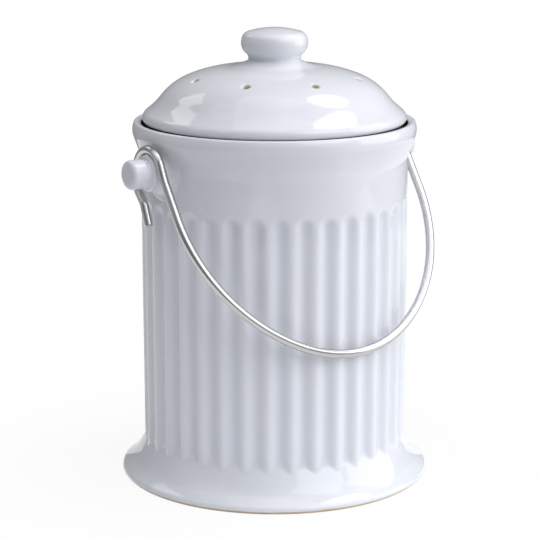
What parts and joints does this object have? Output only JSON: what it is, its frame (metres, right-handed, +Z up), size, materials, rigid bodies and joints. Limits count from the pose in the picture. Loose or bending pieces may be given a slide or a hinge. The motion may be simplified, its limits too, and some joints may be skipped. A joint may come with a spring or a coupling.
{
  "type": "compost caddy with lid",
  "caption": "Round fluted ceramic compost crock with a flared foot, a loose domed lid with vent holes and a charcoal filter, and a swinging steel wire bail.",
  "frame": {"origin": "on the crock's axis, in the plane that its foot ring stands on", "axes": "+Z up along the crock's axis; X through the two lugs; -Y is the front, where the bail rests"},
  "size_m": [0.209, 0.191, 0.276],
  "materials": {
    "crock_glaze": "glossy",
    "lug_glaze": "glossy",
    "lid_glaze": "glossy",
    "charcoal_felt": "matte",
    "bail_wire": "satin"
  },
  "bodies": {
    "crock": {"crock": "crock_glaze", "left_lug": "lug_glaze", "right_lug": "lug_glaze"},
    "lid": {"lid": "lid_glaze"},
    "filter": {"charcoal_filter": "charcoal_felt"},
    "bail": {"bail_handle": "bail_wire"}
  },
  "joints": [
    {"name": "bail_swing", "type": "hinge", "parent": "crock", "child": "bail", "pos_m": [0, 0, 0.196], "axis": [-1, 0, 0], "range_deg": [0, 281.7]},
    {"name": "lid_lift", "type": "slide", "parent": "crock", "child": "lid", "axis": [0, 0, 1], "range_m": [0, 0.04]},
    {"name": "filter_pull", "type": "slide", "parent": "lid", "child": "filter", "axis": [0, 0, -1], "range_m": [0, 0.0125]}
  ]
}
